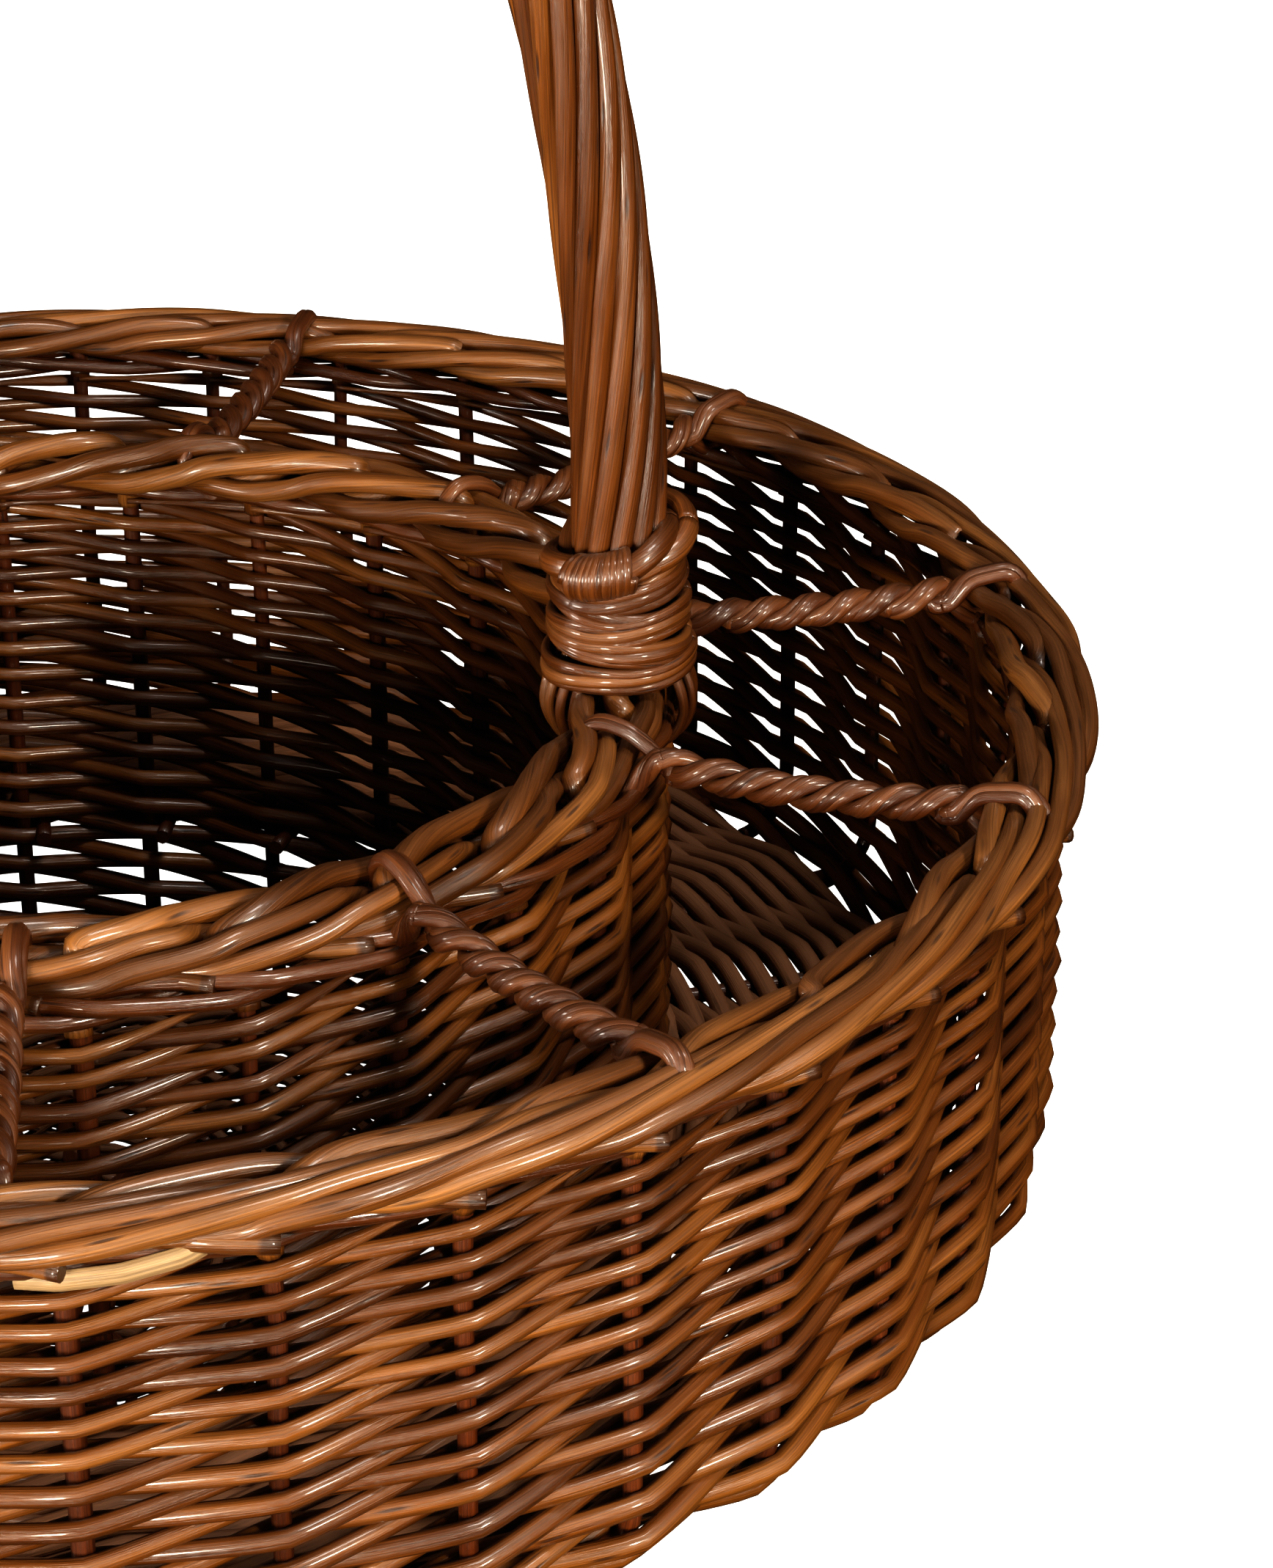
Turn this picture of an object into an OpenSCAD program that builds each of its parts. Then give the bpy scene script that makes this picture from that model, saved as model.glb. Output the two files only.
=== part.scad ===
// Round willow carrying basket: a deep central well, a ring tray of compartments around it,
// twisted dividers from rim to rim and a tall roped bow handle. Millimetres, +Z up.
// The origin is on the ground, on the axis of the well. The handle stands in the XZ plane.

/* [Rims] */
// Height of the centre of both rims above the ground
rim_height = 205; // [180:1:240]
// Radius of the outer rim's centre line
outer_rim_r = 281; // [270:1:300]
// Radius of the inner rim's centre line
inner_rim_r = 163; // [155:1:172]
// Width of the outer rim
outer_rim_w = 24; // [20:1:26]
// Thickness of the outer rim
outer_rim_h = 11; // [9:1:13]
// Width of the inner rim
inner_rim_w = 25; // [20:1:26]
// Thickness of the inner rim
inner_rim_h = 14; // [11:1:15]

/* [Walls] */
// Outside radius of the outer wall
outer_wall_r = 284; // [280:1:288]
// Outside radius of the well's wall
well_wall_r = 176; // [172:1:180]
// Thickness of a woven wall, from outermost to innermost weaver
wall_t = 10; // [9:1:12]
// Height of the twisted rows below each rim
waling_h = 14; // [10:1:18]
// Number of upright stakes in the outer wall
outer_stake_count = 39; // [30:1:48]
// Number of upright stakes in the well's wall
well_stake_count = 26; // [20:2:30]
// Diameter of a stake
stake_d = 6; // [5:0.5:7]

/* [Ring tray] */
// Depth of the ring tray, from the rims' centre to its woven floor
ring_depth = 125; // [100:1:130]
// Thickness of the ring tray's floor
ring_floor_t = 10; // [8:1:12]
// Diameter of a floor stick
floor_stick_d = 5; // [4:0.5:6]
// Radius of the turn between the ring tray's floor and the outer wall, outside
turn_r = 24; // [20:1:28]

/* [Handle] */
// Diameter of the roped handle
handle_d = 26; // [22:1:28]
// Number of rods laid around the handle's core
handle_rod_count = 9; // [7:1:11]
// Height of the straight part of each leg above the rims' centre
handle_leg_h = 50; // [40:1:70]
// Radius of the long side curve of the bow
handle_side_r = 700; // [600:10:800]
// Angle that the side curve turns through before the top curve
handle_side_angle = 18; // [15:1:22]
// Angle that the rods twist through from foot to foot
handle_twist = 600; // [360:30:900]
// Diameter of the binding round each foot of the handle
collar_d = 40; // [36:1:42]
// Height of that binding
collar_h = 40; // [30:1:46]

/* [Dividers] */
// Diameter of a twisted divider
divider_d = 8; // [6:0.5:9]
// Angles of the dividers from the handle's plane, mirrored to the other side
divider_angles = [15, 48, 81.5, 110, 138, 166];

/* [Hidden] */
$fn = 96;

// Small gap that lets curved pieces meet without cutting into each other
fit_gap = 0.15;
// Overlap of a cutting tool past the surface that it cuts
cut = 1;

// Well base and foot
foot_h = 12;
foot_w = 18;
base_z = 13;
base_t = 9;
base_stick_d = 6;
base_stick_pitch = 9;
base_sticks_each_way = 4;

// Heights of the walls' zones
ring_floor_top = rim_height - ring_depth;
ring_floor_bottom = ring_floor_top - ring_floor_t;
ring_stick_z = ring_floor_bottom + ring_floor_t / 2;
turn_bottom = ring_floor_bottom - 2;
turn_top = turn_bottom + turn_r;
turn_centre_r = outer_wall_r - turn_r;
outer_rim_bottom = rim_height - outer_rim_h / 2;
inner_rim_bottom = rim_height - inner_rim_h / 2;
inner_rim_top = rim_height + inner_rim_h / 2;
outer_wall_top = outer_rim_bottom - waling_h;
well_wall_top = inner_rim_bottom - waling_h;

// Radii inside the walls
outer_stake_ring_r = outer_wall_r - wall_t / 2;
well_stake_ring_r = well_wall_r - wall_t / 2;
well_inside_r = well_wall_r - wall_t;
stick_inner_r = well_inside_r - 7;
short_stick_r = 215;

// Handle
core_r = 6;
handle_rod_r = 3.7;
handle_rod_ring_r = handle_d / 2 - handle_rod_r;
leg_top_z = rim_height + handle_leg_h;
side_centre_x = inner_rim_r - handle_side_r;
bend_x = side_centre_x + handle_side_r * cos(handle_side_angle);
bend_z = leg_top_z + handle_side_r * sin(handle_side_angle);
top_r = bend_x / cos(handle_side_angle);
top_centre_z = bend_z - top_r * sin(handle_side_angle);
leg_steps = 3;
side_steps = 9;
top_steps = 16;
core_sides = 12;
points_per_rod = 4;
collar_coils = 6;

// Divider ends and handle lashings
divider_wrap_t = 3;
divider_wrap_w = 9;
lashing_t = 3;
lashing_w = 12;
lashing_span = 38;
lashing_drop = 8;

function stake_angle(i, count) = (i + 0.5) * 360 / count;
// The first six dividers run round one way from the right foot, the others mirror them
function divider_angle(i) = i <= 6 ? divider_angles[i - 1] : -divider_angles[i - 7];

// Outline of a bar with round ends, w wide and h thick, lying along X
module stadium(w, h) {
    square([w - h, h], center = true);
    translate([-(w - h) / 2, 0]) circle(d = h);
    translate([(w - h) / 2, 0]) circle(d = h);
}

// Cross-section of a rim: a flat core with four rods rolled over its top
module rim_section(w, h) {
    rod_d = w / 3.4;
    difference() {
        stadium(w, h);
        translate([-w / 2, h / 2 - rod_d / 2]) square([w, h]);
    }
    for (i = [0:3])
        translate([(i - 1.5) * (w - rod_d) / 3, h / 2 - rod_d / 2]) circle(d = rod_d);
}

// A band of h height between two radii
module band(r_out, r_in, h) {
    linear_extrude(height = h) difference() {
        circle(r = r_out);
        circle(r = r_in);
    }
}

// A woven wall: a band with a slot for every stake that stands in it
module woven_band(r_out, h, ring_r, count) {
    linear_extrude(height = h) difference() {
        circle(r = r_out);
        circle(r = r_out - wall_t);
        for (i = [0:count - 1])
            rotate(stake_angle(i, count)) translate([ring_r, 0]) circle(d = stake_d);
    }
}

// Upright stakes round a wall, from z0 to z1
module stakes(ring_r, count, z0, z1) {
    for (i = [0:count - 1])
        rotate([0, 0, stake_angle(i, count)]) translate([ring_r, 0, z0])
            cylinder(d = stake_d, h = z1 - z0);
}

// Three twisted rows seen as three ribs inside and outside
module waling(r_out, z0, ring_r, count) {
    rib_d = waling_h / 3;
    difference() {
        rotate_extrude() union() {
            translate([r_out - wall_t, z0]) square([wall_t, waling_h]);
            for (i = [0:2]) {
                translate([r_out, z0 + (i + 0.5) * rib_d]) circle(d = rib_d);
                translate([r_out - wall_t, z0 + (i + 0.5) * rib_d]) circle(d = rib_d);
            }
        }
        stakes(ring_r, count, z0 - cut, z0 + waling_h + cut);
    }
}

// Four sticks laid through four others, the cross that the base starts from
module well_base_sticks() {
    reach = well_inside_r - 1;
    color([0.45, 0.27, 0.13]) for (turn = [0, 90], i = [0:base_sticks_each_way - 1]) {
        offset_y = (i - (base_sticks_each_way - 1) / 2) * base_stick_pitch;
        rotate([0, 0, turn]) translate([-reach, offset_y, base_z])
            rotate([0, 90, 0]) cylinder(d = base_stick_d, h = 2 * reach);
    }
}

module well_base_weave() {
    color([0.50, 0.30, 0.15]) difference() {
        translate([0, 0, base_z - base_t / 2]) cylinder(r = well_inside_r - fit_gap, h = base_t);
        well_base_sticks();
    }
}

module well_foot_rim() {
    color([0.42, 0.25, 0.12]) rotate_extrude()
        translate([well_stake_ring_r, foot_h / 2]) stadium(foot_w, foot_h);
}

module well_stakes() {
    color([0.50, 0.28, 0.12]) stakes(well_stake_ring_r, well_stake_count, foot_h, inner_rim_bottom);
}

module well_wall_lower() {
    color([0.56, 0.34, 0.16]) translate([0, 0, foot_h])
        woven_band(well_wall_r, ring_floor_bottom - foot_h, well_stake_ring_r, well_stake_count);
}

// The rows at the level of the ring tray's floor, with its sticks pushed through them
module well_stick_band() {
    color([0.52, 0.31, 0.15]) difference() {
        translate([0, 0, ring_floor_bottom])
            woven_band(well_wall_r, ring_floor_t, well_stake_ring_r, well_stake_count);
        ring_floor_stick_set(cut);
    }
}

module well_wall_upper() {
    color([0.56, 0.34, 0.16]) translate([0, 0, ring_floor_top])
        woven_band(well_wall_r, well_wall_top - ring_floor_top, well_stake_ring_r, well_stake_count);
}

module well_waling() {
    color([0.40, 0.23, 0.11]) difference() {
        waling(well_wall_r, well_wall_top, well_stake_ring_r, well_stake_count);
        lashing(fit_gap);
        mirror([1, 0, 0]) lashing(fit_gap);
    }
}

module inner_rim() {
    color([0.58, 0.37, 0.20]) difference() {
        translate([0, 0, rim_height]) rotate_extrude()
            translate([inner_rim_r, 0]) rim_section(inner_rim_w, inner_rim_h);
        for (side = [-1, 1])
            translate([side * inner_rim_r, 0, inner_rim_bottom + cut])
                cylinder(r = core_r, h = inner_rim_h + cut);
    }
}

// Long sticks from the well's wall to the outer wall, one beside each of the well's stakes,
// and short ones between every second pair, as in a round base that is worked outwards
module ring_floor_stick_set(extra) {
    beside_stake = 2.2;
    pitch = 360 / well_stake_count;
    for (i = [0:well_stake_count - 1]) {
        rotate([0, 0, i * pitch + pitch / 2 - beside_stake])
            radial_stick(stick_inner_r, extra);
        if (i % 2 == 0)
            rotate([0, 0, i * pitch + pitch - beside_stake]) radial_stick(short_stick_r, extra);
    }
}

// One stick, ending just short of the turn, or past it when it cuts its own hole
module radial_stick(r_start, extra) {
    translate([r_start, 0, ring_stick_z]) rotate([0, 90, 0])
        cylinder(d = floor_stick_d, h = turn_centre_r - fit_gap + extra - r_start);
}

module ring_floor_sticks() {
    color([0.42, 0.25, 0.12]) ring_floor_stick_set(0);
}

module ring_floor_weave() {
    color([0.38, 0.25, 0.17]) difference() {
        translate([0, 0, ring_floor_bottom])
            band(turn_centre_r, well_wall_r + fit_gap, ring_floor_t);
        ring_floor_stick_set(cut);
    }
}

// The round corner where the ring tray's floor turns up into the outer wall
module outer_wall_turn() {
    color([0.50, 0.29, 0.13]) rotate_extrude() intersection() {
        translate([turn_centre_r, turn_top]) difference() {
            circle(r = turn_r);
            circle(r = turn_r - wall_t);
        }
        translate([turn_centre_r, turn_bottom - cut]) square([turn_r + cut, turn_r + cut]);
    }
}

module outer_stakes() {
    color([0.50, 0.28, 0.12]) stakes(outer_stake_ring_r, outer_stake_count, turn_top, outer_rim_bottom);
}

module outer_wall() {
    color([0.58, 0.35, 0.16]) translate([0, 0, turn_top])
        woven_band(outer_wall_r, outer_wall_top - turn_top, outer_stake_ring_r, outer_stake_count);
}

module outer_waling() {
    color([0.42, 0.24, 0.11])
        waling(outer_wall_r, outer_wall_top, outer_stake_ring_r, outer_stake_count);
}

module outer_rim() {
    color([0.58, 0.37, 0.20]) translate([0, 0, rim_height]) rotate_extrude()
        translate([outer_rim_r, 0]) rim_section(outer_rim_w, outer_rim_h);
}

// Stations along the right half of the bow, each [x, z, angle turned from upright]
function right_stations(bottom_z) = concat(
    [for (i = [0:leg_steps - 1])
        [inner_rim_r, bottom_z + (leg_top_z - bottom_z) * i / leg_steps, 0]],
    [for (i = [0:side_steps - 1]) let (turn = handle_side_angle * i / side_steps)
        [side_centre_x + handle_side_r * cos(turn), leg_top_z + handle_side_r * sin(turn), turn]],
    [for (i = [0:top_steps / 2 - 1])
        let (turn = handle_side_angle + (90 - handle_side_angle) * 2 * i / top_steps)
        [top_r * cos(turn), top_centre_z + top_r * sin(turn), turn]]
);

// The whole bow: the right half, the crown, and the right half mirrored and run backwards
function bow_stations(bottom_z) = let (right = right_stations(bottom_z), n = len(right)) concat(
    right,
    [[0, top_centre_z + top_r, 90]],
    [for (i = [n - 1:-1:0]) [-right[i][0], right[i][1], 180 - right[i][2]]]
);

// A ring of points round a station, with the radius that radii gives at each point
function ring_points(station, radii, twist) = [for (k = [0:len(radii) - 1])
    let (a = 360 * k / len(radii) + twist, turn = station[2], r = radii[k])
    [station[0] + r * cos(a) * cos(turn), r * sin(a), station[1] + r * cos(a) * sin(turn)]];

// Faces of a tube's skin, where first is the number of its first point
function skin_faces(first, rings, sides, inward) = [for (i = [0:rings - 2], k = [0:sides - 1])
    let (a = first + i * sides + k, b = first + i * sides + (k + 1) % sides)
    inward ? [a, b, b + sides, a + sides] : [a, a + sides, b + sides, b]];

// The thick rod that gives the bow its shape, with both ends pushed into the inner rim
module handle_core() {
    stations = bow_stations(inner_rim_bottom + cut);
    rings = len(stations);
    radii = [for (k = [0:core_sides - 1]) core_r];
    color([0.45, 0.26, 0.12]) polyhedron(
        points = [for (st = stations) each ring_points(st, radii, 0)],
        faces = concat(
            skin_faces(0, rings, core_sides, false),
            [[for (k = [0:core_sides - 1]) k]],
            [[for (k = [core_sides - 1:-1:0]) (rings - 1) * core_sides + k]]
        )
    );
}

// The rods laid round the core, which show as the twisted ridges of the handle
module handle_roping() {
    stations = bow_stations(inner_rim_top);
    rings = len(stations);
    sides = handle_rod_count * points_per_rod;
    outer_radii = [for (k = [0:sides - 1])
        let (off = (k % points_per_rod - points_per_rod / 2) * 360 / sides)
        handle_rod_ring_r * cos(off)
            + sqrt(pow(handle_rod_r, 2) - pow(handle_rod_ring_r * sin(off), 2))];
    inner_radii = [for (k = [0:sides - 1]) core_r + fit_gap];
    inner_first = rings * sides;
    last = (rings - 1) * sides;
    color([0.66, 0.42, 0.18]) polyhedron(
        points = concat(
            [for (i = [0:rings - 1])
                each ring_points(stations[i], outer_radii, handle_twist * i / (rings - 1))],
            [for (i = [0:rings - 1])
                each ring_points(stations[i], inner_radii, handle_twist * i / (rings - 1))]
        ),
        faces = concat(
            skin_faces(0, rings, sides, false),
            skin_faces(inner_first, rings, sides, true),
            [for (k = [0:sides - 1]) let (next = (k + 1) % sides)
                [k, next, inner_first + next, inner_first + k]],
            [for (k = [0:sides - 1]) let (next = (k + 1) % sides)
                [last + next, last + k, inner_first + last + k, inner_first + last + next]]
        )
    );
}

// Coils of split skein bound round the foot of the handle
module collar() {
    coil_d = collar_h / collar_coils;
    translate([inner_rim_r, 0, inner_rim_top]) rotate_extrude() union() {
        translate([handle_d / 2, 0]) square([(collar_d - handle_d - coil_d) / 2, collar_h]);
        for (i = [0:collar_coils - 1])
            translate([(collar_d - coil_d) / 2, (i + 0.5) * coil_d]) circle(d = coil_d);
    }
}

module handle_collar_right() {
    color([0.62, 0.40, 0.20]) collar();
}

module handle_collar_left() {
    color([0.62, 0.40, 0.20]) mirror([1, 0, 0]) collar();
}

// Loop of skein that ties the foot down: under the rim, up both sides and into the collar
module lashing(gap) {
    height = inner_rim_h + lashing_drop;
    translate([inner_rim_r, (lashing_w + gap) / 2, inner_rim_top - height / 2]) rotate([90, 0, 0])
        linear_extrude(height = lashing_w + gap) difference() {
            translate([0, -lashing_t / 2])
                stadium(lashing_span + 2 * gap, height + lashing_t + 2 * gap);
            stadium(lashing_span - 2 * lashing_t - 2 * gap, height - 2 * gap);
            translate([-lashing_span, height / 2]) square([2 * lashing_span, 2 * lashing_t]);
        }
}

module handle_lashing_right() {
    color([0.55, 0.33, 0.17]) lashing(0);
}

module handle_lashing_left() {
    color([0.55, 0.33, 0.17]) mirror([1, 0, 0]) lashing(0);
}

// End of a divider wrapped round a rim: over the top, down both sides and in below
module divider_wrap(rim_r, w, h, wall_r) {
    translate([rim_r, divider_wrap_w / 2, rim_height]) rotate([90, 0, 0])
        linear_extrude(height = divider_wrap_w) difference() {
            stadium(w + 2 * divider_wrap_t, h + 2 * divider_wrap_t);
            stadium(w + 2 * fit_gap, h + 2 * fit_gap);
            translate([wall_r - wall_t - rim_r - waling_h / 6 - fit_gap, -h])
                square([wall_t + waling_h / 3 + 2 * fit_gap, h]);
        }
}

// Two strands twisted together from rim to rim, drawn as the round rope that they fill
module divider(i) {
    rope_start = inner_rim_r + inner_rim_w / 2 + fit_gap;
    rope_end = outer_rim_r - outer_rim_w / 2 - fit_gap;
    color([0.45, 0.28, 0.17]) rotate([0, 0, divider_angle(i)]) union() {
        translate([rope_start, 0, rim_height]) rotate([0, 90, 0])
            cylinder(d = divider_d, h = rope_end - rope_start);
        divider_wrap(inner_rim_r, inner_rim_w, inner_rim_h, well_wall_r);
        divider_wrap(outer_rim_r, outer_rim_w, outer_rim_h, outer_wall_r);
    }
}

well_base_sticks();
well_base_weave();
well_foot_rim();
well_stakes();
well_wall_lower();
well_stick_band();
well_wall_upper();
well_waling();
inner_rim();
ring_floor_sticks();
ring_floor_weave();
outer_wall_turn();
outer_stakes();
outer_wall();
outer_waling();
outer_rim();
handle_core();
handle_roping();
handle_collar_right();
handle_collar_left();
handle_lashing_right();
handle_lashing_left();
divider(1);  // divider_1
divider(2);  // divider_2
divider(3);  // divider_3
divider(4);  // divider_4
divider(5);  // divider_5
divider(6);  // divider_6
divider(7);  // divider_7
divider(8);  // divider_8
divider(9);  // divider_9
divider(10);  // divider_10
divider(11);  // divider_11
divider(12);  // divider_12
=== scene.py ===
import math

import bpy
import numpy as np
from mathutils import Matrix, Vector


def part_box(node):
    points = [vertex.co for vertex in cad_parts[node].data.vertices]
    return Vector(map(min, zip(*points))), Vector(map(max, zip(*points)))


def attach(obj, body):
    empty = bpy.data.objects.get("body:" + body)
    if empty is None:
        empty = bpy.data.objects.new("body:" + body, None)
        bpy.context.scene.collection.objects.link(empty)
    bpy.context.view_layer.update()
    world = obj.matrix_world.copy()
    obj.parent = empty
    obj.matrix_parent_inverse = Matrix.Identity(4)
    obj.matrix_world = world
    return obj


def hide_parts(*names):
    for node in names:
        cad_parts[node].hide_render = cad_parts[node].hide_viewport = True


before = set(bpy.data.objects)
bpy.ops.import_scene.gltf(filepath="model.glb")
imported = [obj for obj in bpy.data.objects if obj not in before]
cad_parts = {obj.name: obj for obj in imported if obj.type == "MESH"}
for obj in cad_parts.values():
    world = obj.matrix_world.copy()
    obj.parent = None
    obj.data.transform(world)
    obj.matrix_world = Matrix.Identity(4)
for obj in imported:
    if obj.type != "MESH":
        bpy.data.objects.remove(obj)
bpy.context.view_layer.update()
bpy.ops.object.select_all(action="DESELECT")

# ---------------------------------------------------------------------------
# The studio: a camera that looks down on the front right quarter of the
# basket, a pale floor under it, and large soft lights.
# ---------------------------------------------------------------------------
camera_data = bpy.data.cameras.new("studio_camera")
camera_data.sensor_width = 36.0
camera_data.lens = 91.77  # millimetres
camera_data.clip_start, camera_data.clip_end = 0.05, 40.0
studio_camera = bpy.data.objects.new("studio_camera", camera_data)
studio_camera.location = (0.2112, -0.9936, 0.6668)
camera_aim = Vector((-0.039161, 0.895939, -0.442447))
studio_camera.rotation_euler = camera_aim.to_track_quat("-Z", "Y").to_euler()
bpy.context.scene.collection.objects.link(studio_camera)
bpy.context.scene.camera = studio_camera
bpy.context.scene.view_settings.view_transform = "Standard"
bpy.context.scene.view_settings.look = "High Contrast"

bpy.ops.mesh.primitive_plane_add(size=24.0, location=(0.0, 0.0, 0.0))
studio_floor = bpy.context.active_object
studio_floor.name = "studio_floor"
floor_paper = bpy.data.materials.new("floor_paper")
floor_paper.use_nodes = True
paper = floor_paper.node_tree.nodes["Principled BSDF"]
paper.inputs["Base Color"].default_value = (0.86, 0.86, 0.86, 1.0)
paper.inputs["Roughness"].default_value = 0.9
paper.inputs["Emission Color"].default_value = (1.0, 1.0, 1.0, 1.0)
paper.inputs["Emission Strength"].default_value = 0.8
studio_floor.data.materials.append(floor_paper)
studio_floor.visible_diffuse = False
studio_floor.visible_glossy = False


def soft_light(name, place, target, size, power, colour, shine=True):
    """A square studio softbox at place that faces target."""
    lamp = bpy.data.lights.new(name, "AREA")
    lamp.shape, lamp.size, lamp.energy, lamp.color = "SQUARE", size, power, colour
    softbox = bpy.data.objects.new(name, lamp)
    softbox.location = place
    facing = Vector(target) - Vector(place)
    softbox.rotation_euler = facing.to_track_quat("-Z", "Y").to_euler()
    softbox.visible_glossy = shine
    bpy.context.scene.collection.objects.link(softbox)


soft_light("key_softbox", (-0.45, -2.34, 0.50), (0.0, 0.0, 0.12), 0.55, 80.0, (1.0, 0.93, 0.80))
soft_light("side_softbox", (1.52, -1.42, 1.08), (0.05, 0.05, 0.16), 0.32, 43.0, (1.0, 0.92, 0.78))
soft_light(
    "rear_softbox", (0.35, 2.35, 0.50), (0.0, 0.0, 0.14), 0.60, 34.0, (1.0, 0.95, 0.87), shine=False
)
soft_light("left_softbox", (-2.15, -0.75, 0.30), (0.0, 0.0, 0.16), 0.60, 58.0, (1.0, 0.95, 0.87))
soft_light("top_softbox", (0.85, -0.45, 2.30), (0.15, 0.0, 0.1), 0.50, 23.0, (1.0, 0.96, 0.92))
studio_room = bpy.data.worlds.new("studio_room")
studio_room.use_nodes = True
room = studio_room.node_tree
dim = room.nodes["Background"]
dim.inputs["Color"].default_value = (1.0, 1.0, 1.0, 1.0)
dim.inputs["Strength"].default_value = 0.012
backdrop = room.nodes.new("ShaderNodeBackground")
backdrop.inputs["Color"].default_value = (1.0, 1.0, 1.0, 1.0)
seen = room.nodes.new("ShaderNodeMixShader")
room.links.new(room.nodes.new("ShaderNodeLightPath").outputs["Is Camera Ray"], seen.inputs[0])
room.links.new(dim.outputs[0], seen.inputs[1])
room.links.new(backdrop.outputs[0], seen.inputs[2])
room.links.new(seen.outputs[0], room.nodes["World Output"].inputs["Surface"])
bpy.context.scene.world = studio_room

# ---------------------------------------------------------------------------
# Base of the well: eight willow sticks laid four through four and opened out
# like a wheel, with thinner rods paired round them in a spiral.
# ---------------------------------------------------------------------------


def lay_rods(name, rods, finish, stands_for=(), sides=8):
    """Makes one closed mesh of round rods and hangs it on the basket.

    A rod has a line (n x 3), the way it faces, out (n x 3), its radius,
    thick (n), how much wider than thick it is, wide, its tone, 0 to 1 and
    below 0 for a dark cut end, and its offset along the grain in metres.
    """
    corners, loops, starts, smooth, uv, tone = [], [], [], [], [], []
    turn = np.linspace(0.0, 2 * np.pi, sides, endpoint=False) + np.pi
    first, loop_count = 0, 0
    for rod in rods:
        line = np.asarray(rod["line"], float)
        n = len(line)
        out = np.broadcast_to(np.asarray(rod["out"], float), line.shape)
        thick = np.broadcast_to(rod["thick"], (n,))
        wide = thick * rod.get("wide", 1.0)
        ahead = np.gradient(line, axis=0)
        ahead /= np.linalg.norm(ahead, axis=1)[:, None]
        side = np.cross(ahead, out)
        side /= np.linalg.norm(side, axis=1)[:, None]
        up = np.cross(side, ahead)
        ring = (
            line[:, None, :]
            + (thick[:, None] * np.cos(turn))[:, :, None] * up[:, None, :]
            + (wide[:, None] * np.sin(turn))[:, :, None] * side[:, None, :]
        )
        corners.append(ring.reshape(-1, 3))
        i, k = np.meshgrid(np.arange(n - 1), np.arange(sides), indexing="ij")
        after = (k + 1) % sides
        quads = np.stack(
            [
                i * sides + k,
                i * sides + after,
                (i + 1) * sides + after,
                (i + 1) * sides + k,
            ],
            axis=-1,
        ).reshape(-1, 4)
        loops.append((quads + first).ravel())
        starts.append(loop_count + 4 * np.arange(len(quads)))
        smooth.append(np.ones(len(quads), bool))
        run = np.concatenate([[0.0], np.cumsum(np.linalg.norm(np.diff(line, axis=0), axis=1))])
        run = run + rod.get("offset", 0.0)
        around = np.stack([k, k + 1, k + 1, k], axis=-1).reshape(-1, 4) / sides
        along = np.stack([run[i], run[i], run[i + 1], run[i + 1]], axis=-1).reshape(-1, 4)
        uv.append(np.stack([around, along], axis=-1).reshape(-1, 2))
        loop_count += 4 * len(quads)
        for end, order in ((0, np.arange(sides)[::-1]), (n - 1, np.arange(sides))):
            loops.append(first + end * sides + order)
            starts.append(np.array([loop_count]))
            smooth.append(np.zeros(1, bool))
            uv.append(np.stack([order / sides, np.full(sides, run[end])], axis=-1))
            loop_count += sides
        tone.append(np.broadcast_to(rod["tone"], (n,)).repeat(sides))
        first += n * sides
    mesh = bpy.data.meshes.new(name)
    corners = np.concatenate(corners)
    mesh.vertices.add(len(corners))
    mesh.vertices.foreach_set("co", corners.astype(np.float32).ravel())
    loops = np.concatenate(loops)
    mesh.loops.add(len(loops))
    mesh.loops.foreach_set("vertex_index", loops.astype(np.int32))
    starts = np.concatenate(starts)
    mesh.polygons.add(len(starts))
    mesh.polygons.foreach_set("loop_start", starts.astype(np.int32))
    mesh.update(calc_edges=True)
    mesh.polygons.foreach_set("use_smooth", np.concatenate(smooth))
    mesh.uv_layers.new(name="rod").data.foreach_set("uv", np.concatenate(uv).astype(np.float32).ravel())
    mesh.attributes.new("rod_tone", "FLOAT", "POINT").data.foreach_set(
        "value", np.concatenate(tone).astype(np.float32)
    )
    mesh.validate()
    piece = bpy.data.objects.new(name, mesh)
    bpy.context.scene.collection.objects.link(piece)
    mesh.materials.append(finish)
    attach(piece, "root")
    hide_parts(*stands_for)
    return piece


grain_stretch = 9.0  # metres of the grain's pattern that the rods start in


def willow_rod(line, out, thick, luck, darker=0.0, **more):
    """A rod for lay_rods that draws its tone and its stretch of grain from luck."""
    return {
        "line": line,
        "out": out,
        "thick": thick,
        "tone": luck.random() - darker,
        "offset": luck.random() * grain_stretch,
        **more,
    }


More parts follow.
